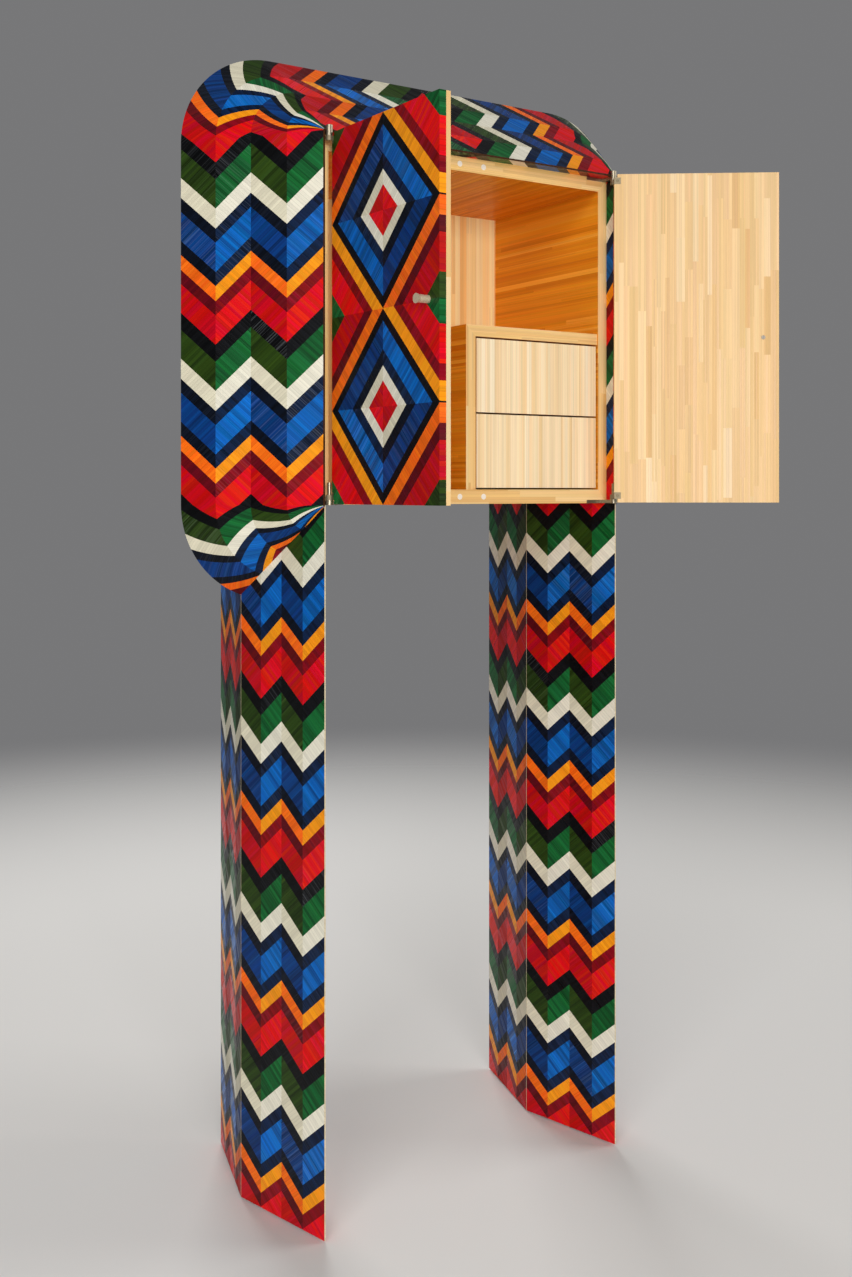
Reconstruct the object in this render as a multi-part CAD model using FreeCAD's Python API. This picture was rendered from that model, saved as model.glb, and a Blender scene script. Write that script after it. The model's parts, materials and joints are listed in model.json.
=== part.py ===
import FreeCAD, Part
import math
import os

from FreeCAD import Vector

# A wardrobe cabinet on two tall blade legs. A square carcass with two inset doors and two drawers
# sits in an inverted U frame, whose flat facets rise from the front and rear edges to a crisp ridge.
# Millimetres. X runs to the right, the front faces -Y, Z is up, and the origin is on the floor
# at the middle of the stance. Left and right are as seen from the front.

# Overall form
opening_width = 606.0          # between the inner lines of the frame
opening_height = 600.0         # underside of the carcass to the inner line of the frame's top
body_depth = 400.0             # front plane to rear plane
frame_bulge = 163.0            # inner line of the frame to its ridge
floor_to_opening = 1182.0      # floor to the underside of the carcass
leg_half_width = 54.0          # axis of a leg to its ridge

# Frame boards and their ribs
edge_flat = 3.0                # narrow flat along the front and rear edges of the frame
ridge_board = 25.5             # facet board measured across at the ridge
reveal_lap = 3.0               # a facet board reaches this far behind the carcass front edge
rib_thickness = 18.0
ribs_per_run = 3

# Legs
leg_wall = 15.0
post_thickness = 22.0
post_rise = 420.0              # the post climbs this far up the carcass side
foot_block_height = 60.0
top_block_height = 70.0
foot_pad_thickness = 3.0
foot_pad_inset = 8.0
tenon_thickness = 12.0
tenon_width = 80.0
tenon_in_block = 30.0
tenon_in_carcass = 16.0
tenon_offset = 13.0            # middle of the tenon inboard of the leg's axis

# Carcass
side_thickness = 20.0
floor_thickness = 25.0         # bottom and top panels
back_thickness = 16.0
back_recess = 7.5              # rear edges of the carcass to the back panel
outer_back_thickness = 22.0

# Doors
door_panel_thickness = 12.0
door_lining_thickness = 8.0
door_gap_bottom = 1.5
door_gap_top = 2.0
door_gap_middle = 2.5
door_gap_carcass = 2.0         # closed door's lining to the carcass front edges
left_door_rest = 87.6          # opening angles at rest, degrees
right_door_rest = 144.3

# Door hinges: a leaf let into the carcass reaches forward to a pivot in front of the door
pivot_inboard = 6.5            # pivot from the inner line of the frame
pivot_forward = 2.0            # pivot in front of the front plane
pivot_to_face = 5.5            # pivot in front of the closed door's outer face
pivot_to_edge = 0.6            # the door's edge reaches this far past the pivot
hinge_pin_radius = 3.25
hinge_pin_fit = 0.05
hinge_running_gap = 0.1
hinge_leaf_thickness = 6.0
hinge_leaf_depth = 14.0
hinge_leaf_length = 36.0
hinge_arm_width = 9.0
hinge_fixed_knuckle = 8.0      # height of the carcass knuckle inside the opening
hinge_door_knuckle = 8.0
hinge_top_reach = 9.0          # the top carcass knuckle stands this far above the opening
hinge_pin_tail = 20.0          # the bottom pin stands this far above the door knuckle
bottom_knuckle_radius = 6.2
top_knuckle_radius = 5.5
door_leaf_edge = 4.0
door_leaf_height = 12.0
door_leaf_flange = 12.0
door_leaf_gauge = 2.0
door_notch_gap = 1.0
knuckle_notch_gap = 0.3

# Knobs and magnetic catches
knob_radius = 6.0
knob_length = 22.0
knob_lip_radius = 7.4          # flared outer end
knob_flare = 5.0               # length of the flare
knob_from_edge = 28.0
knob_screw_radius = 2.0
knob_screw_bite = 10.0
knob_screw_head_radius = 3.6
knob_screw_head_height = 1.2
knob_screw_slot = 1.0          # width of the slot across the head
knob_screw_slot_depth = 0.6
knob_screw_fit = 0.1
magnet_radius = 5.0
magnet_depth = 4.0
magnet_from_centre = 25.0
strike_width = 14.0
strike_depth = 2.5

# Drawer unit
divider_thickness = 20.0
unit_top_thickness = 20.0
unit_inset = 3.0               # front of the unit behind the carcass front edge
drawer_count = 2
drawer_gap = 3.0               # below, between and above the drawer fronts
drawer_gap_divider = 2.0
drawer_gap_wall = 3.0
drawer_front_height = 129.0
drawer_front_thickness = 20.0
drawer_box_lift = 14.0         # lower edge of a front to the lower edge of its sides
drawer_side_height = 96.0
drawer_side_thickness = 12.0
drawer_back_thickness = 12.0
drawer_bottom_thickness = 6.0
drawer_bottom_lift = 8.0

# Drawer runners and push latches
rail_width = 20.0
rail_height = 10.0
rail_gauge = 2.0
rail_gap = 0.9
rail_end_gap = 14.1            # rear end of the rails to the rear of the drawer box
rail_lift = 1.0                # lower edge of a front to its cabinet rail
rail_setback = 1.0             # cabinet and middle rails behind the drawer front
latch_width = 14.0
latch_length = 18.0
latch_plunger_radius = 3.0
latch_plunger_reach = 5.0      # plunger in front of its housing at rest
latch_plunger_length = 14.0
latch_bore_depth = 15.0
latch_bore_gap = 0.3
latch_gap = 0.4                # plunger tip to the closed drawer's back

# Places that follow from the sizes above
half_opening = opening_width / 2
half_depth = body_depth / 2
opening_bottom = floor_to_opening
opening_top = opening_bottom + opening_height
opening_middle = (opening_bottom + opening_top) / 2
pivot_x = -half_opening + pivot_inboard
pivot_y = -half_depth - pivot_forward
door_outer = pivot_y + pivot_to_face
door_lining_face = door_outer + door_panel_thickness
door_inner = door_lining_face + door_lining_thickness
door_edge = pivot_x - pivot_to_edge
door_free_edge = -door_gap_middle / 2
knob_x = door_free_edge - knob_from_edge

carcass_front = door_inner + door_gap_carcass
carcass_rear = -carcass_front
inner_half = half_opening - side_thickness
inner_floor = opening_bottom + floor_thickness
inner_ceiling = opening_top - floor_thickness
back_face = carcass_rear - back_recess - back_thickness
facet_seat = carcass_rear - reveal_lap
ridge_seat = frame_bulge - ridge_board

# The leg's edge flat makes its outer facet meet the frame's corner cone along one straight line.
leg_edge_flat = edge_flat * leg_half_width / frame_bulge
leg_drop = math.sqrt(frame_bulge ** 2 - leg_half_width ** 2)
leg_run = leg_half_width - leg_edge_flat
leg_face = math.hypot(leg_run, half_depth)
leg_point = half_depth + leg_edge_flat * half_depth / leg_run

unit_front = carcass_front + unit_inset
unit_ceiling = inner_floor + drawer_count * drawer_front_height + (drawer_count + 1) * drawer_gap
unit_top = unit_ceiling + unit_top_thickness
drawer_front_rear = unit_front + drawer_front_thickness
drawer_rear = back_face - latch_length - latch_plunger_reach - latch_gap
rail_length = drawer_rear - rail_end_gap - drawer_front_rear
drawer_side_inset = 2 * (rail_gauge + rail_gap)
drawer_box_left = divider_thickness / 2 + drawer_side_inset
drawer_box_right = inner_half - drawer_side_inset
drawer_middle = (drawer_box_left + drawer_box_right) / 2


def box(x_span, y_span, z_span):
    size = [span[1] - span[0] for span in (x_span, y_span, z_span)]
    return Part.makeBox(*size, Vector(x_span[0], y_span[0], z_span[0]))


def prism(points, travel):
    corners = [Vector(*point) for point in points]
    return Part.Face(Part.makePolygon(corners + corners[:1])).extrude(Vector(*travel))


def plan_prism(outline, z_low, z_high):
    return prism([(x, y, z_low) for x, y in outline], (0, 0, z_high - z_low))


def front_prism(outline, y_front, y_rear):
    return prism([(x, y_front, z) for x, z in outline], (0, y_rear - y_front, 0))


def rod_up(radius, x, y, z_span):
    return Part.makeCylinder(radius, z_span[1] - z_span[0], Vector(x, y, z_span[0]))


def rod_back(radius, x, z, y_span):
    return Part.makeCylinder(radius, y_span[1] - y_span[0], Vector(x, y_span[0], z), Vector(0, 1, 0))


def to_right(shape):
    return shape.mirror(Vector(0, 0, 0), Vector(1, 0, 0))


def to_rear(shape):
    return shape.mirror(Vector(0, 0, 0), Vector(0, 1, 0))


# Frame: the front half of its section, measured outwards from the opening line
def frame_section():
    return [
        (0, -half_depth),
        (edge_flat, -half_depth),
        (frame_bulge, 0),
        (ridge_seat, 0),
        (0, -facet_seat),
    ]


def side_facet():
    outline = [(-half_opening - out, y) for out, y in frame_section()]
    return plan_prism(outline, opening_bottom, opening_top)


def top_facet():
    points = [(-half_opening, y, opening_top + out) for out, y in frame_section()]
    return prism(points, (opening_width, 0, 0))


def corner_cone(z, axis, angle):
    section = [(0, -half_depth), (edge_flat, -half_depth), (frame_bulge, 0), (0, 0)]
    points = [Vector(-half_opening - out, y, z) for out, y in section]
    face = Part.Face(Part.makePolygon(points + points[:1]))
    return face.revolve(Vector(-half_opening, 0, z), axis, angle)


def top_corner():
    front = corner_cone(opening_top, Vector(0, 1, 0), 90)
    return [front, to_rear(front)]


def bottom_corner():
    sweep = math.degrees(math.acos(leg_half_width / frame_bulge))
    front = corner_cone(opening_bottom, Vector(0, -1, 0), sweep).cut(leg_post())
    return [front, to_rear(front)]


def frame_ribs():
    hollow = [(0, -facet_seat), (ridge_seat, 0), (0, facet_seat)]
    ribs = []
    for count in range(ribs_per_run):
        share = (count + 0.5) / ribs_per_run
        z = opening_bottom + share * opening_height - rib_thickness / 2
        outline = [(-half_opening - out, y) for out, y in hollow]
        side_rib = plan_prism(outline, z, z + rib_thickness).cut(leg_post())
        ribs += [side_rib, to_right(side_rib)]
        x = -half_opening + share * opening_width - rib_thickness / 2
        ribs.append(prism([(x, y, opening_top + out) for out, y in hollow], (rib_thickness, 0, 0)))
    return ribs


# Legs: lozenge blades of two V shells, joined on the leg's axis under the opening line
def leg_hollow():
    tip = leg_point - leg_wall * leg_face / leg_run
    half = leg_half_width - leg_wall * leg_face / half_depth
    return tip, half


def leg_section(side):
    tip, half = leg_hollow()
    points = [
        (0, -half_depth),
        (leg_edge_flat, -half_depth),
        (leg_half_width, 0),
        (leg_edge_flat, half_depth),
        (0, half_depth),
        (0, tip),
        (half, 0),
        (0, -tip),
    ]
    return [(-half_opening + side * out, y) for out, y in points]


def leg_outer_shell():
    shell = plan_prism(leg_section(-1), foot_pad_thickness, opening_bottom)
    below_cone = [
        (-half_opening, foot_pad_thickness),
        (-half_opening, opening_bottom),
        (-half_opening - leg_half_width, opening_bottom - leg_drop),
        (-half_opening - leg_half_width, foot_pad_thickness),
    ]
    return shell.common(front_prism(below_cone, -half_depth, half_depth))


def leg_inner_shell():
    return plan_prism(leg_section(1), foot_pad_thickness, opening_bottom)


def leg_post():
    tip, half = leg_hollow()
    narrow = tip * (1 - post_thickness / half)
    outer = -half_opening - post_thickness
    outline = [(-half_opening, -tip), (outer, -narrow), (outer, narrow), (-half_opening, tip)]
    return plan_prism(outline, foot_pad_thickness + foot_block_height, opening_bottom + post_rise)


def leg_tenon():
    x = -half_opening + tenon_offset
    return box((x - tenon_thickness / 2, x + tenon_thickness / 2), (-tenon_width / 2, tenon_width / 2),
               (opening_bottom - tenon_in_block, opening_bottom + tenon_in_carcass))


def leg_blocks():
    tip, half = leg_hollow()
    axis = -half_opening
    foot_outline = [(axis, -tip), (axis - half, 0), (axis, tip), (axis + half, 0)]
    foot = plan_prism(foot_outline, foot_pad_thickness, foot_pad_thickness + foot_block_height)
    top_outline = [(axis, -tip), (axis + half, 0), (axis, tip)]
    top = plan_prism(top_outline, opening_bottom - top_block_height, opening_bottom)
    return [foot, top.cut(leg_tenon())]


def foot_pad():
    axis = -half_opening
    tip = leg_point - foot_pad_inset * leg_face / leg_run
    half = leg_half_width - foot_pad_inset * leg_face / half_depth
    return plan_prism([(axis, -tip), (axis - half, 0), (axis, tip), (axis + half, 0)], 0, foot_pad_thickness)


# Hinges, made for the closed left door: distances run from the opening line into the opening
def hinge_span(level, near, far):
    if level == "bottom":
        return (opening_bottom + near, opening_bottom + far)
    return (opening_top - far, opening_top - near)


def knuckle_radius(level):
    return bottom_knuckle_radius if level == "bottom" else top_knuckle_radius


def knuckle_reach(level):
    return 0 if level == "bottom" else hinge_top_reach


def door_knuckle_start():
    return hinge_fixed_knuckle + hinge_running_gap


def hinge_carcass_leaf(level):
    arm_half = hinge_arm_width / 2
    leaf_rear = carcass_front + hinge_leaf_depth
    height = hinge_span(level, 0, hinge_leaf_thickness)
    arm = box((pivot_x - arm_half, pivot_x + arm_half), (pivot_y, leaf_rear), height)
    plate = box((pivot_x, pivot_x + arm_half + hinge_leaf_length), (carcass_front, leaf_rear), height)
    knuckle_height = hinge_span(level, -knuckle_reach(level), hinge_fixed_knuckle)
    knuckle = rod_up(knuckle_radius(level), pivot_x, pivot_y, knuckle_height)
    bore = rod_up(hinge_pin_radius + hinge_pin_fit, pivot_x, pivot_y, knuckle_height)
    return arm.fuse([plate, knuckle]).removeSplitter().cut(bore)


def hinge_pin(level):
    tail = hinge_pin_tail if level == "bottom" else hinge_running_gap
    top = door_knuckle_start() + hinge_door_knuckle + tail
    return rod_up(hinge_pin_radius, pivot_x, pivot_y, hinge_span(level, -knuckle_reach(level), top))


def hinge_door_leaf(level):
    start = door_knuckle_start()
    leaf_height = hinge_span(level, start, start + door_leaf_height)
    knuckle_height = hinge_span(level, start, start + hinge_door_knuckle)
    cap = box((door_edge, door_edge + door_leaf_edge), (door_outer, door_inner), leaf_height)
    flange = box(
        (door_edge, door_edge + door_leaf_flange), (door_inner - door_leaf_gauge, door_inner), leaf_height)
    neck = box((door_edge, door_edge + door_leaf_edge), (pivot_y, door_outer), knuckle_height)
    knuckle = rod_up(knuckle_radius(level), pivot_x, pivot_y, knuckle_height)
    bore = rod_up(hinge_pin_radius + hinge_running_gap, pivot_x, pivot_y, knuckle_height)
    return cap.fuse([flange, neck, knuckle]).removeSplitter().cut(bore)


def hinge_notch(level):
    reach = pivot_x + hinge_arm_width / 2 + door_notch_gap
    return box((door_edge, reach), (door_outer, door_inner), hinge_span(level, 0, door_knuckle_start()))


hinge_levels = ("bottom", "top")


# Knobs, their screws and the magnetic catches, made for the closed left door
def revolved_back(profile, x, y, z):
    points = [Vector(x + radius, y + along, z) for radius, along in profile]
    face = Part.Face(Part.makePolygon(points + points[:1]))
    return face.revolve(Vector(x, y, z), Vector(0, 1, 0), 360)


def knob():
    profile = [
        (0, -knob_length),
        (knob_lip_radius, -knob_length),
        (knob_radius, -knob_length + knob_flare),
        (knob_radius, 0),
        (0, 0),
    ]
    bore = rod_back(knob_screw_radius + knob_screw_fit, knob_x, opening_middle,
                    (door_outer - knob_screw_bite - knob_screw_fit, door_outer))
    return revolved_back(profile, knob_x, door_outer, opening_middle).cut(bore)


def knob_screw():
    length = door_inner - door_outer + knob_screw_bite
    profile = [
        (0, -length),
        (knob_screw_radius, -length),
        (knob_screw_radius, 0),
        (knob_screw_head_radius, 0),
        (knob_screw_head_radius, knob_screw_head_height),
        (0, knob_screw_head_height),
    ]
    half_slot = knob_screw_slot / 2
    head_top = door_inner + knob_screw_head_height
    slot = box((knob_x - half_slot, knob_x + half_slot), (head_top - knob_screw_slot_depth, head_top),
               (opening_middle - knob_screw_head_radius, opening_middle + knob_screw_head_radius))
    return revolved_back(profile, knob_x, door_inner, opening_middle).cut(slot)


def knob_screw_hole():
    return rod_back(knob_screw_radius + knob_screw_fit, knob_x, opening_middle, (door_outer, door_inner))


def catch_heights():
    return (opening_bottom + floor_thickness / 2, opening_top - floor_thickness / 2)


def catch_magnets():
    depth = (carcass_front, carcass_front + magnet_depth)
    return [rod_back(magnet_radius, x, z, depth)
            for z in catch_heights() for x in (-magnet_from_centre, magnet_from_centre)]


def door_strikes():
    half = strike_width / 2
    depth = (door_lining_face, door_lining_face + strike_depth)
    return [box((-magnet_from_centre - half, -magnet_from_centre + half), depth, (z - half, z + half))
            for z in catch_heights()]


def door_board(y_front, y_rear, cuts):
    board = box((door_edge, door_free_edge), (y_front, y_rear),
                (opening_bottom + door_gap_bottom, opening_top - door_gap_top))
    hinge_cuts = [make(level) for level in hinge_levels for make in (hinge_notch, hinge_door_leaf)]
    return board.cut(hinge_cuts + cuts)


def closed_left_door():
    hole = knob_screw_hole()
    return {
        "door_panel": [door_board(door_outer, door_lining_face, [hole])],
        "door_lining": [door_board(door_lining_face, door_inner, [hole] + door_strikes())],
        "door_hinge_leaves": [hinge_door_leaf(level) for level in hinge_levels],
        "door_strikes": door_strikes(),
        "knob": [knob()],
        "knob_screw": [knob_screw()],
    }


def swing(shape, x, angle):
    return shape.rotated(Vector(x, pivot_y, 0), Vector(0, 0, 1), angle)


# Carcass: four mitred panels, a let-in back and a flush outer back
def carcass_cuts():
    leaves = [hinge_carcass_leaf(level) for level in hinge_levels]
    left_cuts = leaves + [leg_tenon()]
    return left_cuts + [to_right(cut) for cut in left_cuts] + catch_magnets()


def carcass_panel(outline):
    return front_prism(outline, carcass_front, carcass_rear).cut(carcass_cuts())


def carcass_bottom():
    return carcass_panel([
        (-half_opening, opening_bottom),
        (half_opening, opening_bottom),
        (inner_half, inner_floor),
        (-inner_half, inner_floor),
    ])


def carcass_top():
    return carcass_panel([
        (-half_opening, opening_top),
        (half_opening, opening_top),
        (inner_half, inner_ceiling),
        (-inner_half, inner_ceiling),
    ])


def carcass_side():
    return carcass_panel([
        (-half_opening, opening_bottom),
        (-half_opening, opening_top),
        (-inner_half, inner_ceiling),
        (-inner_half, inner_floor),
    ])


def carcass_back():
    return box((-inner_half, inner_half), (back_face, back_face + back_thickness), (inner_floor, inner_ceiling))


def outer_back_panel():
    return box((-half_opening, half_opening), (carcass_rear, carcass_rear + outer_back_thickness),
               (opening_bottom, opening_top))


# Drawer unit: a divider mitred to its top, with two drawers on undermount runners
def divider_panel():
    half = divider_thickness / 2
    outline = [(-half, inner_floor), (half, inner_floor), (half, unit_ceiling), (-half, unit_top)]
    return front_prism(outline, unit_front, back_face)


def drawer_unit_top():
    half = divider_thickness / 2
    outline = [(-half, unit_top), (half, unit_ceiling), (inner_half, unit_ceiling), (inner_half, unit_top)]
    return front_prism(outline, unit_front, back_face)


def channel(x_span, y_span, z_span):
    inside = box((x_span[0] + rail_gauge, x_span[1] - rail_gauge), y_span, (z_span[0] + rail_gauge, z_span[1]))
    return box(x_span, y_span, z_span).cut(inside)


def runner_spans(inset):
    left = divider_thickness / 2
    return [(left + inset, left + rail_width - inset), (inner_half - rail_width + inset, inner_half - inset)]


def drawer_pieces(front_low):
    step = rail_gauge + rail_gap
    rail_low = front_low + rail_lift
    box_low = front_low + drawer_box_lift
    fixed_y = (drawer_front_rear + rail_setback, drawer_front_rear + rail_setback + rail_length)
    drawer_y = (drawer_front_rear, drawer_front_rear + rail_length)
    cabinet_rails = [channel(x, fixed_y, (rail_low, rail_low + rail_height)) for x in runner_spans(0)]
    middle_rails = [channel(x, fixed_y, (rail_low + step, rail_low + rail_height)) for x in runner_spans(step)]
    drawer_rails = [box(x, drawer_y, (rail_low + 2 * step, box_low)) for x in runner_spans(2 * step)]

    front_x = (divider_thickness / 2 + drawer_gap_divider, inner_half - drawer_gap_wall)
    front = box(front_x, (unit_front, drawer_front_rear), (front_low, front_low + drawer_front_height))
    side_z = (box_low, box_low + drawer_side_height)
    left_side = box((drawer_box_left, drawer_box_left + drawer_side_thickness),
                    (drawer_front_rear, drawer_rear), side_z)
    right_side = box((drawer_box_right - drawer_side_thickness, drawer_box_right),
                     (drawer_front_rear, drawer_rear), side_z)
    inside_x = (drawer_box_left + drawer_side_thickness, drawer_box_right - drawer_side_thickness)
    back = box(inside_x, (drawer_rear - drawer_back_thickness, drawer_rear), side_z)
    bottom_low = box_low + drawer_bottom_lift
    bottom = box(inside_x, (drawer_front_rear, drawer_rear - drawer_back_thickness),
                 (bottom_low, bottom_low + drawer_bottom_thickness))
    return {
        "slide_cabinet_rails": cabinet_rails,
        "slide_middle_rails": middle_rails,
        "drawer_rails": drawer_rails,
        "drawer_front": [front],
        "drawer_box": [left_side, right_side, back],
        "drawer_bottom": [bottom],
        "latch_plunger": [latch_plunger(latch_height(front_low))],
    }


def latch_height(front_low):
    return front_low + drawer_box_lift + drawer_side_height / 2


def latch_housing(z):
    half = latch_width / 2
    front = back_face - latch_length
    body = box((drawer_middle - half, drawer_middle + half), (front, back_face), (z - half, z + half))
    return body.cut(rod_back(latch_plunger_radius + latch_bore_gap, drawer_middle, z,
                             (front, front + latch_bore_depth)))


def latch_plunger(z):
    tip = back_face - latch_length - latch_plunger_reach
    return rod_back(latch_plunger_radius, drawer_middle, z, (tip, tip + latch_plunger_length))


# All pieces, by node name
pieces = {
    "carcass_bottom": [carcass_bottom()],
    "carcass_top": [carcass_top()],
    "carcass_left_side": [carcass_side()],
    "carcass_right_side": [to_right(carcass_side())],
    "carcass_back": [carcass_back()],
    "outer_back_panel": [outer_back_panel()],
    "divider_panel": [divider_panel()],
    "drawer_unit_top": [drawer_unit_top()],
    "frame_ribs": frame_ribs(),
    "catch_magnets": catch_magnets(),
}

left_front_facet = side_facet()
pieces["left_side_front_facet"] = [left_front_facet]
pieces["left_side_rear_facet"] = [to_rear(left_front_facet)]
pieces["right_side_front_facet"] = [to_right(left_front_facet)]
pieces["right_side_rear_facet"] = [to_right(to_rear(left_front_facet))]

knuckle_notch = rod_up(top_knuckle_radius + knuckle_notch_gap, pivot_x, pivot_y,
                       (opening_top, opening_top + hinge_top_reach + knuckle_notch_gap))
pieces["top_front_facet"] = [top_facet().cut([knuckle_notch, to_right(knuckle_notch)])]
pieces["top_rear_facet"] = [to_rear(top_facet())]

left_only = {
    "corner_top": top_corner(),
    "corner_bottom": bottom_corner(),
    "leg_outer_shell": [leg_outer_shell()],
    "leg_inner_shell": [leg_inner_shell()],
    "leg_post": [leg_post()],
    "foot_pad": [foot_pad()],
}
for name, solids in left_only.items():
    pieces["left_" + name] = solids
    pieces["right_" + name] = [to_right(solid) for solid in solids]

shared_by_sides = {
    "leg_blocks": leg_blocks(),
    "leg_tenons": [leg_tenon()],
    "hinge_carcass_leaves": [hinge_carcass_leaf(level) for level in hinge_levels],
    "hinge_pins": [hinge_pin(level) for level in hinge_levels],
}
for name, solids in shared_by_sides.items():
    pieces[name] = solids + [to_right(solid) for solid in solids]

for name, solids in closed_left_door().items():
    pieces["left_" + name] = [swing(solid, pivot_x, -left_door_rest) for solid in solids]
    pieces["right_" + name] = [swing(to_right(solid), -pivot_x, right_door_rest) for solid in solids]

drawer_lows = {}
for count, level in enumerate(("lower", "upper")):
    drawer_lows[level] = inner_floor + drawer_gap + count * (drawer_front_height + drawer_gap)
for level, front_low in drawer_lows.items():
    for name, solids in drawer_pieces(front_low).items():
        pieces[level + "_" + name] = solids
pieces["latch_housings"] = [latch_housing(latch_height(front_low)) for front_low in drawer_lows.values()]

os.makedirs("parts", exist_ok=True)
for name, solids in pieces.items():
    shape = solids[0] if len(solids) == 1 else Part.makeCompound(solids)
    shape.exportStep("parts/" + name + ".step")
    print(name, len(shape.Solids), "valid" if shape.isValid() else "not valid", round(shape.Volume))
print(len(pieces), "nodes")
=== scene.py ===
import json
import math
from functools import partial

import bmesh
import bpy
from mathutils import Matrix, Vector


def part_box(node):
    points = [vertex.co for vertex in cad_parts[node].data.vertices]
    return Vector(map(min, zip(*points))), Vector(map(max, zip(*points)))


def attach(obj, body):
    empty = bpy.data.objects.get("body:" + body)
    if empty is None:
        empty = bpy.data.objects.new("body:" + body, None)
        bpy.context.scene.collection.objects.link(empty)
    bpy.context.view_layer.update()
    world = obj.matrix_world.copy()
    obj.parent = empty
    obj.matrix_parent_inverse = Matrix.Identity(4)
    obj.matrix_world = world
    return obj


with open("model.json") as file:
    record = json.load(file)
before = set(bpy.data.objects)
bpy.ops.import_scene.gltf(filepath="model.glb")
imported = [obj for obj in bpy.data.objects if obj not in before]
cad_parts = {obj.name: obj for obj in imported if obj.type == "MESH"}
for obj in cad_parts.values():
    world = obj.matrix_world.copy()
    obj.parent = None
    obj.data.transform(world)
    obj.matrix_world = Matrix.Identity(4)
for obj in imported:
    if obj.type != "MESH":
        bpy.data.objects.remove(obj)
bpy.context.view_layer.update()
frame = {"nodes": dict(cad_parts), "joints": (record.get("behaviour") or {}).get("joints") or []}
nodes = frame["nodes"]
print("frame loaded:", len(nodes), "nodes")

# Places read from the frame, in metres
sideLow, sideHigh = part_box("left_side_front_facet")
halfOpening = -sideHigh.x
halfDepth = -sideLow.y
openBottom = sideLow.z
openTop = sideHigh.z
bulge = sideHigh.x - sideLow.x
legHalf = -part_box("left_leg_outer_shell")[0].x - halfOpening
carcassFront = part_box("carcass_bottom")[0].y
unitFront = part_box("divider_panel")[0].y
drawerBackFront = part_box("upper_drawer_bottom")[1].y
joints = {joint["name"]: joint for joint in frame["joints"]}
width, depth, height = 0, 1, 2   # which of x, y and z
hair = 0.0001                    # nearer than this counts as the same place


# Node formulas: a Flow is a socket that can stand in plain arithmetic
def connect(tree, value, place):
    if isinstance(value, Flow):
        tree.links.new(value.socket, place)
    else:
        place.default_value = value


class Flow:
    def __init__(self, tree, socket):
        self.tree = tree
        self.socket = socket

    def step(self, operation, *others):
        node = self.tree.nodes.new("ShaderNodeMath")
        node.operation = operation
        for place, value in zip(node.inputs, (self, *others)):
            connect(self.tree, value, place)
        return Flow(self.tree, node.outputs[0])

    def __add__(self, other):
        return self.step("ADD", other)

    def __sub__(self, other):
        return self.step("SUBTRACT", other)

    def __mul__(self, other):
        return self.step("MULTIPLY", other)

    def __truediv__(self, other):
        return self.step("DIVIDE", other)

    def __gt__(self, other):
        return self.step("GREATER_THAN", other)

    def __lt__(self, other):
        return self.step("LESS_THAN", other)

    def __abs__(self):
        return self.step("ABSOLUTE")

    def floor(self):
        return self.step("FLOOR")

    def part(self):
        return self.step("FRACT")

    def atLeast(self, other):
        return self.step("MAXIMUM", other)

    def atMost(self, other):
        return self.step("MINIMUM", other)

    def choose(self, ifOne, ifZero):
        return self * ifOne + (self.step("MULTIPLY", -1.0) + 1.0) * ifZero


def makeNode(tree, kind, inputs, output=0, **settings):
    node = tree.nodes.new(kind)
    for name, value in settings.items():
        setattr(node, name, value)
    for place, value in inputs.items():
        connect(tree, value, node.inputs[place])
    return Flow(tree, node.outputs[output])


def vector(tree, x, y, z):
    return makeNode(tree, "ShaderNodeCombineXYZ", {0: x, 1: y, 2: z})


def splitVector(flow):
    node = flow.tree.nodes.new("ShaderNodeSeparateXYZ")
    flow.tree.links.new(flow.socket, node.inputs[0])
    return [Flow(flow.tree, socket) for socket in node.outputs]


def objectPlace(tree):
    return makeNode(tree, "ShaderNodeTexCoord", {}, output="Object")


def chance(tree, first, second, third=0.0):
    place = vector(tree, first, second, third)
    return makeNode(tree, "ShaderNodeTexWhiteNoise", {"Vector": place}, output="Value",
                    noise_dimensions="3D")


def cloud(tree, place, detail=2.0):
    return makeNode(tree, "ShaderNodeTexNoise", {"Vector": place, "Scale": 1.0, "Detail": detail})


def mixColour(tree, share, first, second):
    return makeNode(tree, "ShaderNodeMix", {0: share, 6: first, 7: second}, output=2, data_type="RGBA")


def linear(value):
    # A colour as a screen shows it, made linear as shaders need it
    value /= 255
    return value / 12.92 if value <= 0.04045 else ((value + 0.055) / 1.055) ** 2.4


def dye(red, green, blue):
    return (linear(red), linear(green), linear(blue), 1.0)


def patchy(colour, streak):
    # The alpha of a ramp carries how uneven the straws of that dye are
    return (*colour[:3], streak)


def ramp(tree, share, colours, starts=None):
    # Even stops blend into each other; given starts make flat steps
    node = tree.nodes.new("ShaderNodeValToRGB")
    bar = node.color_ramp
    bar.interpolation = "CONSTANT" if starts else "LINEAR"
    places = starts or [count / (len(colours) - 1) for count in range(len(colours))]
    while len(bar.elements) < len(colours):
        bar.elements.new(0.5)
    for stop, place, colour in zip(bar.elements, places, colours):
        stop.position = place
        stop.color = colour
    connect(tree, share, node.inputs[0])
    return Flow(tree, node.outputs["Color"]), Flow(tree, node.outputs["Alpha"])


def newMaterial(name):
    material = bpy.data.materials.new(name)
    material.use_nodes = True
    tree = material.node_tree
    shader = next(node for node in tree.nodes if node.type == "BSDF_PRINCIPLED")
    return material, tree, shader


def finishShader(tree, shader, colour, rough, height, depth, fixed):
    connect(tree, colour, shader.inputs["Base Color"])
    connect(tree, rough, shader.inputs["Roughness"])
    bump = makeNode(tree, "ShaderNodeBump", {"Height": height, "Strength": 1.0, "Distance": depth})
    connect(tree, bump, shader.inputs["Normal"])
    for place, value in fixed.items():
        shader.inputs[place].default_value = value


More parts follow.
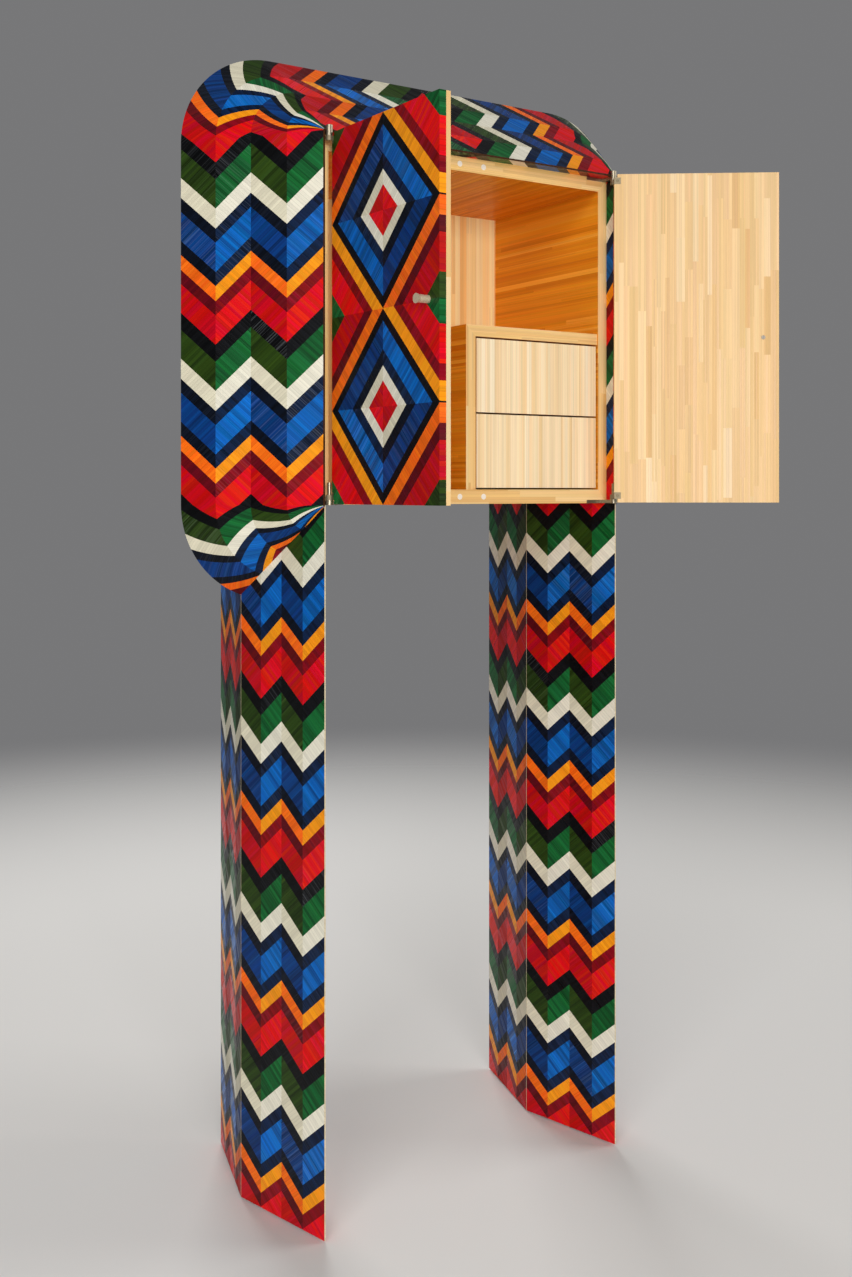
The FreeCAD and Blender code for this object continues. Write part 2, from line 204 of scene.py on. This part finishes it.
def coat(material, *names):
    for name in names:
        slots = nodes[name].material_slots
        if not slots:
            nodes[name].data.materials.append(material)
        for slot in slots:
            slot.material = material


# Split and flattened straw, laid in narrow ribbons side by side; the seeds keep the random choices apart
drawSeeds = {"gloss": 7.0, "glint": 41.0, "start": 3.0, "length": 5.0, "tones": (11.0, 23.0)}
strawLook = {
    "toneSpread": 0.85,          # lightest to darkest straw, times the streak of its dye
    "hueSpread": 0.008,
    "fibreSpread": 1.5,          # fine streaks along a straw
    "fibreWidth": 0.0022,
    "fibreLength": 0.24,
    "fibreShift": 3.7,           # sets the fibres of one straw apart from the next one's
    "fibreRough": 0.12,
    "fibreRelief": 0.5,          # height of the fibres, as a share of the crown
    "driftSpread": 0.5,          # slow change of tone along a straw
    "driftWidth": 0.05,
    "driftLength": 0.28,
    "seam": 0.18,                # how much darker the line between two straws is
    "seamShare": 0.05,           # half of that line, as a share of a straw
    "rough": 0.38,
    "roughSpread": 0.22,
    "relief": 0.00012,           # straw edges below the crown of the straw
    "crownPower": 4.0,           # how flat the crown is
    "specular": 0.15,
    "silk": 0.75,                # how far the sheen stretches across the straws
    "glint": 0.12,               # painted highlight: pale fibre streaks in some pieces stand in for glints of sheen
    "glintFrom": 0.02,
    "glintGain": 7.0,
    "glintRarity": 5.0,
}
# Colour of the painted glints
glintColour = dye(172, 178, 182)
naturalLook = dict(strawLook, toneSpread=0.16, hueSpread=0.009, fibreSpread=0.32, fibreWidth=0.0016,
                   driftSpread=0.16, seam=0.10, relief=0.00009, glint=0.0)


def strawRibbons(tree, colour, streak, straw, across, along, seed, look=strawLook):
    index = straw.floor()
    phase = straw - index
    tone = chance(tree, index, seed) - 0.5
    gloss = chance(tree, index, seed, drawSeeds["gloss"]) - 0.5
    strand = index * look["fibreShift"] + seed
    fibrePlace = vector(tree, across / look["fibreWidth"], along / look["fibreLength"], strand)
    fibre = cloud(tree, fibrePlace) - 0.5
    drift = cloud(tree, vector(tree, across / look["driftWidth"], along / look["driftLength"], seed)) - 0.5
    uneven = tone * look["toneSpread"] + fibre * look["fibreSpread"] + drift * look["driftSpread"]
    seam = abs(phase - 0.5) > 0.5 - look["seamShare"]
    light = (uneven * streak + 1.0) * (seam * -look["seam"] + 1.0)
    hue = gloss * look["hueSpread"] + 0.5
    dyed = makeNode(tree, "ShaderNodeHueSaturation", {"Hue": hue, "Value": light, "Color": colour})
    # Painted highlight: pale streaks along the fibres of a few pieces stand in for glints
    if look["glint"]:
        bright = ((fibre - look["glintFrom"]) * look["glintGain"]).atLeast(0.0).atMost(1.0)
        rare = chance(tree, seed, drawSeeds["glint"]).step("POWER", look["glintRarity"])
        glintShare = rare * streak * look["glint"]
        dyed = mixColour(tree, bright * glintShare, dyed, glintColour)
    rough = gloss * look["roughSpread"] + fibre * look["fibreRough"] + look["rough"]
    crown = (phase * 2.0 - 1.0).step("POWER", look["crownPower"]) * -1.0 + fibre * look["fibreRelief"]
    return dyed, rough, crown


def strawFinish(tree, shader, ribbons, look=strawLook):
    finishShader(tree, shader, *ribbons, look["relief"], {"Specular IOR Level": look["specular"]})


def silkSheen(tree, shader, axis, lean):
    # Highlights stretch across the straws, which lean from the axis by a share of a full turn
    shader.inputs["Anisotropic"].default_value = strawLook["silk"]
    connect(tree, vector(tree, *axis), shader.inputs["Tangent"])
    quarterTurn = 0.25
    connect(tree, lean + quarterTurn, shader.inputs["Anisotropic Rotation"])


# Each dye on a rising pleat, a darker copy of it as painted shade on a falling pleat, and how uneven its
# straws are
dyesAndPaintedShades = {
    "red": (dye(225, 5, 14), dye(188, 3, 14), 0.34),
    "maroon": (dye(132, 5, 20), dye(92, 5, 17), 0.55),
    "orange": (dye(252, 154, 20), dye(246, 106, 16), 0.32),
    "navy": (dye(8, 28, 58), dye(5, 12, 26), 1.10),
    "blue": (dye(4, 96, 178), dye(4, 52, 112), 0.85),
    "cream": (dye(236, 231, 211), dye(221, 214, 188), 0.20),
    "green": (dye(16, 92, 42), dye(38, 60, 14), 1.00),
    "black": (dye(9, 10, 14), dye(5, 6, 8), 1.15),
}
paleStraw = dye(206, 190, 156)
# Dark brown of the frame's front and rear edges
frameEdgeBrown = dye(62, 34, 14)


def dyedPiecesWithShade(tree, turn, pieces, fallingWithPaintedShade):
    # pieces: names of dyes in their order, each with its share of the turn
    total = sum(share for name, share in pieces)
    starts = [sum(share for name, share in pieces[:count]) / total for count in range(len(pieces))]
    lit, streak = ramp(tree, turn, [patchy(dyesAndPaintedShades[name][0], dyesAndPaintedShades[name][2]) for name, share in pieces], starts)
    # The darker copies are painted shade, laid on the falling pleats and quarters
    paintedShade = ramp(tree, turn, [dyesAndPaintedShades[name][1] for name, share in pieces], starts)[0]
    return mixColour(tree, fallingWithPaintedShade, lit, paintedShade), streak


# Frame and legs: zigzag bands that fold into pleats between the edge and the ridge, each falling pleat in a
# darker copy of its dyes as painted shade
zigzag = {
    "bands": [("red", 2), ("maroon", 1), ("orange", 1), ("navy", 1), ("blue", 2), ("navy", 1),
              ("cream", 1.4), ("green", 2), ("black", 1.2)],
    "repeatRun": 0.30,           # one set of bands along the frame
    "pleats": 4,                 # from the front or rear edge to the ridge
    "pleatSlope": 0.85,          # climb of a band over the width of a pleat
    "strawRun": 0.0072,          # one straw, measured along the frame
    "edgeLine": 0.0003,          # front and rear edges: bare on the legs, dark brown on the frame
    "ridgeLine": 0.0005,
    "bareStreak": 0.2,
    "cornerStart": 0.0005,       # a point this near an end of the opening counts as above it
    "leastRise": 0.00001,        # keeps the angle of a corner from starting at nothing
    "seedSteps": {"repeat": 5.0, "dye": 97.0, "rear": 17.0, "right": 31.0},
}


def runAlongFrame(x, z):
    out = abs(x) - halfOpening
    spread = out.atLeast(0.0)
    quarter = zigzag["repeatRun"] / (math.pi / 2)
    above = z > openTop - zigzag["cornerStart"]
    below = z < openBottom - zigzag["cornerStart"]
    overTurn = ((z - openTop).atLeast(0.0) + zigzag["leastRise"]).step("ARCTAN2", spread) * quarter
    underTurn = (z * -1.0 + openBottom).atLeast(0.0).step("ARCTAN2", spread) * quarter
    inward = (out * -1.0).atLeast(0.0)
    return z.atLeast(openBottom).atMost(openTop) + above * (overTurn + inward) - below * underTurn


def zigzagMarquetry(name, faceWidth, onLeg):
    material, tree, shader = newMaterial(name)
    x, y, z = splitVector(objectPlace(tree))
    run = z if onLeg else runAlongFrame(x, z)
    inset = abs(y) * -1.0 + halfDepth
    pleat = inset * (zigzag["pleats"] / halfDepth)
    pleatIndex = pleat.floor()
    fold = pleat - pleatIndex
    # Every other pleat falls and takes the darker dye copies: painted shade
    fallingWithPaintedShade = (pleatIndex * 0.5).part() * 2.0
    climb = fallingWithPaintedShade.choose(fold * -1.0 + 1.0, fold) * (faceWidth / zigzag["pleats"] * zigzag["pleatSlope"])
    flow = run + climb
    repeat = flow / zigzag["repeatRun"]
    dyeWithPaintedShade, streak = dyedPiecesWithShade(tree, repeat.part(), zigzag["bands"], fallingWithPaintedShade)
    bare = inset < zigzag["edgeLine"]
    if onLeg:
        bare = bare.atLeast(abs(y) < zigzag["ridgeLine"])
    base = mixColour(tree, bare, dyeWithPaintedShade, paleStraw if onLeg else frameEdgeBrown)
    cross = run - climb          # the straws cross the bands
    steps = zigzag["seedSteps"]
    seed = pleatIndex + repeat.floor() * steps["repeat"] + streak * steps["dye"]
    seed = seed + (y > 0.0) * steps["rear"] + (x > 0.0) * steps["right"]
    evenness = bare.choose(zigzag["bareStreak"], streak)
    ribbons = strawRibbons(tree, base, evenness, cross / zigzag["strawRun"], cross, flow, seed)
    outward = x * (abs(x) - halfOpening) if onLeg else x
    mirrored = outward.step("SIGN") * y.step("SIGN") * (fallingWithPaintedShade * 2.0 - 1.0)
    lean = mirrored * (math.atan(zigzag["pleatSlope"]) / (2 * math.pi))
    strawFinish(tree, shader, ribbons)
    silkSheen(tree, shader, (0.0, 1.0, 0.0), lean)
    return material


frameFace = math.hypot(bulge, halfDepth)
legFace = math.hypot(legHalf, halfDepth)
frameZigzag = zigzagMarquetry("frameZigzag", frameFace, False)
legZigzag = zigzagMarquetry("legZigzag", legFace, True)
coat(frameZigzag, "left_side_front_facet", "left_side_rear_facet", "right_side_front_facet",
     "right_side_rear_facet", "top_front_facet", "top_rear_facet", "left_corner_top", "right_corner_top",
     "left_corner_bottom", "right_corner_bottom")
coat(legZigzag, "left_leg_outer_shell", "right_leg_outer_shell", "left_leg_inner_shell",
     "right_leg_inner_shell")
print("frame and legs veneered")

# Door fronts: lozenges nested in each other, one above the other, with two quarters of each in painted
# shade
lozenges = {
    "rows": 2,
    "bands": [("red", 1.6), ("cream", 1), ("navy", 1), ("blue", 1.8), ("black", 0.8), ("orange", 1.2),
              ("maroon", 1), ("red", 2.4), ("green", 1.6)],
    "strawWidth": 0.0055,
    "seedSteps": {"row": 3.0, "dye": 97.0, "far": 13.0, "upper": 29.0},
}


def doorTurn(side):
    # The pivot, and the turn that closes the open door
    joint = joints[side + "_door_hinge"]
    return Vector(joint["pos_m"]), math.radians(joint["range_deg"][0]) * joint["axis"][2]


def doorPlace(tree, side):
    # Turns the open door back to its closed place, measured from its pivot and its lower edge
    pivot, closing = doorTurn(side)
    pivot.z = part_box(side + "_door_panel")[0].z
    start = Matrix.Rotation(closing, 3, "Z") @ pivot
    return makeNode(tree, "ShaderNodeMapping", {"Vector": objectPlace(tree), "Location": -start,
                                                "Rotation": (0.0, 0.0, closing)})


def doorMarquetry(side):
    material, tree, shader = newMaterial(side + "DoorLozenges")
    x, y, z = splitVector(doorPlace(tree, side))
    low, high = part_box(side + "_door_panel")
    halfWide = abs(doorTurn(side)[0].x) / 2
    halfHigh = (high.z - low.z) / lozenges["rows"] / 2
    row = z / (2 * halfHigh)
    fromMiddle = abs(x) - halfWide
    fromLevel = (row.part() - 0.5) * (2 * halfHigh)
    spread = abs(fromMiddle) / halfWide + abs(fromLevel) / halfHigh
    # Quarters where the lozenge falls take the darker dye copies: painted shade
    fallingWithPaintedShade = abs((fromMiddle > 0.0) - (fromLevel > 0.0))
    base, streak = dyedPiecesWithShade(tree, spread * 0.5, lozenges["bands"], fallingWithPaintedShade)
    cross = (abs(fromMiddle) - abs(fromLevel)) * math.sqrt(0.5)
    steps = lozenges["seedSteps"]
    seed = row.floor() * steps["row"] + streak * steps["dye"]
    seed = seed + (fromMiddle > 0.0) * steps["far"] + (fromLevel > 0.0) * steps["upper"]
    straw = cross / lozenges["strawWidth"]
    ribbons = strawRibbons(tree, base, streak, straw, cross, spread * halfWide, seed)
    eighth = 0.125 if side == "left" else -0.125
    strawFinish(tree, shader, ribbons)
    silkSheen(tree, shader, (0.0, 0.0, 1.0), (fallingWithPaintedShade * 2.0 - 1.0) * eighth)
    return material


for side in ("left", "right"):
    coat(doorMarquetry(side), side + "_door_panel")
print("door fronts veneered")

# Natural straw: strips of undyed ribbons, butted end to end
naturalTones = {
    "pale": [dye(225, 178, 118), dye(232, 194, 136), dye(238, 198, 144), dye(241, 207, 154),
             dye(247, 220, 178)],
    "cream": [dye(242, 204, 150), dye(249, 218, 170), dye(253, 228, 186), dye(255, 238, 206)],
    # The back panel's straw, lightened past its own tone as painted light on the shaded back
    "paleWithPaintedLight": [dye(232, 176, 98), dye(254, 226, 156), dye(255, 238, 180), dye(246, 200, 124)],
    "honey": [dye(228, 176, 104), dye(238, 192, 122), dye(244, 204, 140), dye(248, 214, 156)],
    # The inside straw's own tone, made more saturated and orange as painted warm bounce light
    "amberWithPaintedBounce": [dye(208, 118, 12), dye(228, 140, 22), dye(238, 154, 32), dye(248, 178, 62)],
    "toasted": [dye(190, 104, 12), dye(210, 126, 22), dye(222, 140, 32), dye(234, 160, 56)],
}
naturalStrips = {                # strips on the drawer fronts are far too long to show a joint
    "lining": {"tones": "pale", "width": 0.0105, "length": 0.21, "straws": 3.0},
    "drawerFront": {"tones": "cream", "width": 0.0068, "length": 60.0, "straws": 2.0},
    "drawerBox": {"tones": "toasted", "width": 0.0062, "length": 0.9, "straws": 2.0},
    "inside": {"tones": "amberWithPaintedBounce", "width": 0.0062, "length": 0.9, "straws": 2.0},
    "back": {"tones": "paleWithPaintedLight", "width": 0.0105, "length": 0.9, "straws": 3.0},
    "edge": {"tones": "honey", "width": 0.0070, "length": 0.22, "straws": 2.0},
}
stripWander = {
    "period": 0.083,             # the strips' widths grow and shrink over this distance
    "reach": 0.0048,
    "shortest": 0.55,            # shares of a strip's usual length
    "longer": 1.0,
    "startSpread": 5.0,          # sets the joints of one strip apart from the next one's
}
frontSkin = 0.0003               # the front straw reaches this far behind a board's face
frontShift = {"upper": 0.0, "lower": 0.37}   # gives the two drawer fronts straws of their own


def layStraw(tree, kind, across, along):
    # Strips of a few straws each: their widths, lengths and tones all differ
    strips = naturalStrips[kind]
    wander = (across * (2 * math.pi / stripWander["period"])).step("SINE") * stripWander["reach"]
    strip = (across + wander) / strips["width"]
    stripIndex = strip.floor()
    start = chance(tree, stripIndex, drawSeeds["start"]) * stripWander["startSpread"]
    share = chance(tree, stripIndex, drawSeeds["length"]) * stripWander["longer"] + stripWander["shortest"]
    lengthIndex = (along / (share * strips["length"]) + start).floor()
    firstTone, secondTone = [chance(tree, stripIndex, lengthIndex, seed) for seed in drawSeeds["tones"]]
    tone = (firstTone + secondTone) * 0.5
    base = ramp(tree, tone, naturalTones[strips["tones"]])[0]
    straw = strip * strips["straws"]
    return strawRibbons(tree, base, 1.0, straw, across, along, lengthIndex, naturalLook)


def naturalBoard(name, kind, across, along, front=None, placed=objectPlace):
    # front: up to which depth another lay covers the board, and that lay's kind and directions
    material, tree, shader = newMaterial(name)
    place = splitVector(placed(tree))
    dyed, rough, crown = layStraw(tree, kind, place[across], place[along])
    if front:
        limit, frontKind, frontAcross, frontAlong = front
        inFront = place[depth] < limit + frontSkin
        frontLay = layStraw(tree, frontKind, place[frontAcross], place[frontAlong])
        frontDyed, frontRough, frontCrown = frontLay
        dyed = mixColour(tree, inFront, dyed, frontDyed)
        rough = inFront.choose(frontRough, rough)
        crown = inFront.choose(frontCrown, crown)
    strawFinish(tree, shader, (dyed, rough, crown), naturalLook)
    return material


def shifted(tree, reach):
    return vector(tree, *[flow + reach for flow in splitVector(objectPlace(tree))])


coat(naturalBoard("carcassSides", "inside", height, depth, (carcassFront, "edge", width, height)),
     "carcass_left_side", "carcass_right_side")
coat(naturalBoard("carcassEnds", "inside", width, depth, (carcassFront, "edge", height, width)),
     "carcass_top", "carcass_bottom")
coat(naturalBoard("dividerStraw", "inside", height, depth, (unitFront, "edge", width, height)),
     "divider_panel")
coat(naturalBoard("unitTopStraw", "inside", width, depth, (unitFront, "edge", height, width)),
     "drawer_unit_top")
coat(naturalBoard("backStraw", "back", width, height), "carcass_back")
coat(naturalBoard("outerBackStraw", "lining", width, height), "outer_back_panel")
boxStraw = naturalBoard("drawerBoxStraw", "drawerBox", height, width,
                        (drawerBackFront, "drawerBox", height, depth))
for level, reach in frontShift.items():
    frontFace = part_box(level + "_drawer_front")[0].y + reach
    frontStraw = naturalBoard(level + "FrontStraw", "drawerBox", depth, height,
                              (frontFace, "drawerFront", width, height), partial(shifted, reach=reach))
    coat(frontStraw, level + "_drawer_front")
    coat(boxStraw, level + "_drawer_box")
for side in ("left", "right"):
    lining = naturalBoard(side + "LiningStraw", "lining", width, height,
                          placed=partial(doorPlace, side=side))
    coat(lining, side + "_door_lining")
print("natural straw laid")

# Drawer bottoms and the timber inside: sawn wood with its grain along the board
woods = {
    "drawerWood": {"tones": [dye(150, 84, 26), dye(182, 110, 42), dye(206, 136, 60)],
                   "axis": depth, "rough": 0.42},
    "innerTimber": {"tones": [dye(176, 136, 88), dye(200, 162, 112), dye(214, 180, 132)],
                    "axis": height, "rough": 0.6},
}
sawnGrain = {
    "across": 140.0,             # streaks in a metre, across and along the board
    "along": 5.0,
    "detail": 5.0,
    "contrast": 1.6,
    "poresPerStreak": 6.0,
    "poreRough": 0.2,
    "relief": 0.0002,
}


def sawnWood(name):
    wood = woods[name]
    material, tree, shader = newMaterial(name)
    place = splitVector(objectPlace(tree))
    stretch = [sawnGrain["across"]] * 3
    stretch[wood["axis"]] = sawnGrain["along"]
    poreStretch = [scale * sawnGrain["poresPerStreak"] for scale in stretch]
    grainPlace = vector(tree, *[flow * scale for flow, scale in zip(place, stretch)])
    grain = cloud(tree, grainPlace, sawnGrain["detail"])
    pores = cloud(tree, vector(tree, *[flow * scale for flow, scale in zip(place, poreStretch)]))
    base = ramp(tree, (grain - 0.5) * sawnGrain["contrast"] + 0.5, wood["tones"])[0]
    rough = (pores - 0.5) * sawnGrain["poreRough"] + wood["rough"]
    finishShader(tree, shader, base, rough, grain + pores, sawnGrain["relief"], {})
    return material


drawerWood = sawnWood("drawerWood")
innerTimber = sawnWood("innerTimber")
for level in ("upper", "lower"):
    coat(drawerWood, level + "_drawer_bottom")
coat(innerTimber, "frame_ribs", "left_leg_post", "right_leg_post", "leg_blocks", "leg_tenons")

# Metal, rubber and plastic fittings
fittings = {
    "brushedNickel": {"colour": dye(228, 212, 184), "rough": 0.74, "grain": 2200.0, "metallic": 0.85},
    "hingeNickel": {"colour": dye(158, 147, 126), "rough": 0.38, "grain": 2200.0, "metallic": 1.0},
    "flangeNickel": {"colour": dye(150, 137, 112), "rough": 0.62, "grain": 2200.0, "metallic": 0.9},
    "magnetPlate": {"colour": dye(250, 238, 222), "rough": 0.55, "grain": 1600.0, "metallic": 0.15},
    "screwSteel": {"colour": dye(104, 98, 90), "rough": 0.42, "grain": 900.0, "metallic": 1.0},
    "platedSteel": {"colour": dye(168, 168, 170), "rough": 0.36, "grain": 700.0, "metallic": 1.0},
    "darkRunner": {"colour": dye(30, 30, 32), "rough": 0.38, "grain": 500.0, "metallic": 0.7},
    "footRubber": {"colour": dye(26, 26, 26), "rough": 0.75, "grain": 600.0, "metallic": 0.0},
    "latchPlastic": {"colour": dye(190, 190, 188), "rough": 0.5, "grain": 500.0, "metallic": 0.0},
}
brushing = {"stretch": 4.0, "detail": 3.0, "toneSpread": 0.10, "roughSpread": 0.14, "relief": 0.00001}


def fittingFinish(name):
    fitting = fittings[name]
    material, tree, shader = newMaterial(name)
    x, y, z = splitVector(objectPlace(tree))
    grain = fitting["grain"]
    grainPlace = vector(tree, x * grain, y * grain, z * (grain * brushing["stretch"]))
    brush = cloud(tree, grainPlace, brushing["detail"])
    light = (brush - 0.5) * brushing["toneSpread"] + 1.0
    shade = makeNode(tree, "ShaderNodeHueSaturation", {"Value": light, "Color": fitting["colour"]})
    rough = (brush - 0.5) * brushing["roughSpread"] + fitting["rough"]
    finishShader(tree, shader, shade, rough, brush, brushing["relief"], {"Metallic": fitting["metallic"]})
    return material


finishes = {name: fittingFinish(name) for name in fittings}
coat(finishes["hingeNickel"], "hinge_carcass_leaves", "hinge_pins")
coat(finishes["magnetPlate"], "catch_magnets")
for side in ("left", "right"):
    coat(finishes["flangeNickel"], side + "_door_hinge_leaves")
    coat(finishes["brushedNickel"], side + "_knob")
    coat(finishes["screwSteel"], side + "_knob_screw")
    coat(finishes["platedSteel"], side + "_door_strikes")
    coat(finishes["footRubber"], side + "_foot_pad")
for level in ("upper", "lower"):
    coat(finishes["darkRunner"], level + "_slide_cabinet_rails", level + "_slide_middle_rails",
         level + "_drawer_rails")
    coat(finishes["latchPlastic"], level + "_latch_plunger")
coat(finishes["latchPlastic"], "latch_housings")
print("fittings finished")

# Hinge screws: domed, slotted heads in the door flanges and under the carcass leaves
hingeScrew = {
    "radius": 0.0022,
    "rim": 0.0003,               # straight side of the head
    "dome": 0.0004,
    "domeEdge": 0.0006,
    "slotWidth": 0.0007,
    "slotDepth": 0.0003,
    "sides": 24,
    "crownFacing": 0.99,         # least upward share of the crown's normal
    "smoothBelow": 40.0,         # degrees between faces
    "alongLeaf": (0.4, 0.78),    # shares of the leaf's length, from the pivot
}


def selectFaces(piece, wanted):
    mesh = bmesh.from_edit_mesh(piece.data)
    for face in mesh.faces:
        face.select_set(wanted(face))
    bmesh.update_edit_mesh(piece.data)


def isCrown(face):
    return face.normal.z > hingeScrew["crownFacing"]


def isSlot(face):
    return isCrown(face) and abs(face.calc_center_median().y) < hingeScrew["slotWidth"] / 2


def modelScrew():
    bpy.ops.object.select_all(action="DESELECT")
    bpy.ops.mesh.primitive_cylinder_add(vertices=hingeScrew["sides"], radius=hingeScrew["radius"],
                                        depth=hingeScrew["rim"], location=(0.0, 0.0, hingeScrew["rim"] / 2))
    bpy.ops.object.transform_apply(location=True)
    screw = bpy.context.object
    bpy.ops.object.mode_set(mode="EDIT")
    bpy.ops.mesh.select_mode(type="FACE")
    selectFaces(screw, isCrown)
    bpy.ops.mesh.inset(thickness=hingeScrew["domeEdge"])
    bpy.ops.transform.translate(value=(0.0, 0.0, hingeScrew["dome"]))
    for slotSide in (-0.5, 0.5):
        selectFaces(screw, isCrown)
        bpy.ops.mesh.bisect(plane_co=(0.0, slotSide * hingeScrew["slotWidth"], 0.0),
                            plane_no=(0.0, 1.0, 0.0))
    selectFaces(screw, isSlot)
    sink = (0.0, 0.0, -hingeScrew["slotDepth"])
    bpy.ops.mesh.extrude_region_move(TRANSFORM_OT_translate={"value": sink})
    bpy.ops.object.mode_set(mode="OBJECT")
    bpy.ops.object.shade_smooth_by_angle(angle=math.radians(hingeScrew["smoothBelow"]))
    screw.data.materials.append(finishes["flangeNickel"])
    return screw


def driveScrew(screw, name, place, facing, body):
    bpy.ops.object.select_all(action="DESELECT")
    screw.select_set(True)
    bpy.context.view_layer.objects.active = screw
    bpy.ops.object.duplicate(linked=False)
    driven = bpy.context.object
    driven.name = name
    driven.rotation_euler = Vector(facing).to_track_quat("Z", "Y").to_euler()
    driven.location = place
    bpy.ops.object.transform_apply(location=True, rotation=True)
    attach(driven, body)


def middleOf(points):
    return sum(points, Vector()) / len(points)


def driveFlangeScrews(screw, side):
    pivot, closing = doorTurn(side)
    close = Matrix.Rotation(closing, 3, "Z")
    places = [close @ (vertex.co - pivot) for vertex in nodes[side + "_door_hinge_leaves"].data.vertices]
    face = max(place.y for place in places)
    corners = [place for place in places if place.y > face - hair]
    opened = close.inverted()
    for level, found in (("lower", [corner for corner in corners if corner.z < 0.0]),
                         ("upper", [corner for corner in corners if corner.z > 0.0])):
        driveScrew(screw, side + "_" + level + "_flange_screw", opened @ middleOf(found) + pivot,
                   opened @ Vector((0.0, 1.0, 0.0)), side + "_door")


def driveLeafScrews(screw, side):
    pivot = doorTurn(side)[0]
    under = [vertex.co for vertex in nodes["hinge_carcass_leaves"].data.vertices
             if vertex.co.z < openBottom + hair and vertex.co.y > carcassFront - hair
             and vertex.co.x * pivot.x > 0.0]
    middle = middleOf(under)
    inner = min((corner.x for corner in under), key=abs)
    for count, share in enumerate(hingeScrew["alongLeaf"]):
        place = Vector((pivot.x + (inner - pivot.x) * share, middle.y, openBottom))
        driveScrew(screw, side + "_leaf_screw_" + str(count + 1), place, (0.0, 0.0, -1.0), "cabinet")


modelledScrew = modelScrew()
for side in ("left", "right"):
    driveFlangeScrews(modelledScrew, side)
    driveLeafScrews(modelledScrew, side)
bpy.data.objects.remove(modelledScrew)
print("hinge screws driven")

# Stage, lights and camera
studio = {
    "floorSize": 30.0,
    "floorColour": dye(226, 224, 220),
    "floorRough": 0.7,
    "floorFade": (1.6, 4.6),     # the floor thins out into the background between these radii
    "worldColour": dye(232, 232, 234),
    "worldStrength": 0.23,
    "lamps": {
        "keyLamp": {"place": (-5.0, -4.4, 4.4), "size": 3.0, "power": 155.0},
        "frontLamp": {"place": (-2.2, -6.2, 1.6), "size": 2.2, "power": 219.0},
        "rightLamp": {"place": (6.0, -2.6, 3.2), "size": 3.6, "power": 160.0},
        "rearLamp": {"place": (1.6, 6.0, 4.6), "size": 3.6, "power": 250.0},
    },
    "aim": (0.0, 0.0, 1.2),
    "camera": {"place": (-1.360, -2.145, 1.2055), "heading": (0.5404, 0.8415, 0.0), "lens": 38.86,
               "sensor": 36.0, "drop": -0.116, "nearest": 0.05},
}


def makeFloor():
    bpy.ops.object.select_all(action="DESELECT")
    bpy.ops.mesh.primitive_plane_add(size=studio["floorSize"], location=(0.0, 0.0, 0.0))
    floor = bpy.context.object
    floor.name = "studioFloor"
    material, tree, shader = newMaterial("floorPaint")
    x, y, z = splitVector(objectPlace(tree))
    near, far = studio["floorFade"]
    radius = (x * x + y * y).step("SQRT")
    fade = {"Value": radius, "From Min": near, "From Max": far, "To Min": 1.0, "To Max": 0.0}
    solid = makeNode(tree, "ShaderNodeMapRange", fade, interpolation_type="SMOOTHSTEP")
    connect(tree, solid, shader.inputs["Alpha"])
    shader.inputs["Base Color"].default_value = studio["floorColour"]
    shader.inputs["Roughness"].default_value = studio["floorRough"]
    floor.data.materials.append(material)


def makeWorld():
    world = bpy.data.worlds.new("studioWorld")
    bpy.context.scene.world = world
    world.use_nodes = True
    tree = world.node_tree
    background = next(node for node in tree.nodes if node.type == "BACKGROUND")
    background.inputs["Color"].default_value = studio["worldColour"]
    background.inputs["Strength"].default_value = studio["worldStrength"]


def makeLamps():
    for name, lamp in studio["lamps"].items():
        bpy.ops.object.light_add(type="AREA", location=lamp["place"])
        light = bpy.context.object
        light.name = name
        light.data.energy = lamp["power"]
        light.data.size = lamp["size"]
        aim = Vector(studio["aim"]) - Vector(lamp["place"])
        light.rotation_euler = aim.to_track_quat("-Z", "Y").to_euler()


def makeCamera():
    view = studio["camera"]
    bpy.ops.object.camera_add(location=view["place"])
    camera = bpy.context.object
    camera.name = "photoCamera"
    camera.rotation_euler = Vector(view["heading"]).to_track_quat("-Z", "Y").to_euler()
    camera.data.sensor_width = view["sensor"]
    camera.data.lens = view["lens"]
    camera.data.shift_y = view["drop"]
    camera.data.clip_start = view["nearest"]
    bpy.context.scene.camera = camera


makeFloor()
makeWorld()
makeLamps()
makeCamera()
bpy.context.scene.view_settings.view_transform = "Standard"
print("studio set")
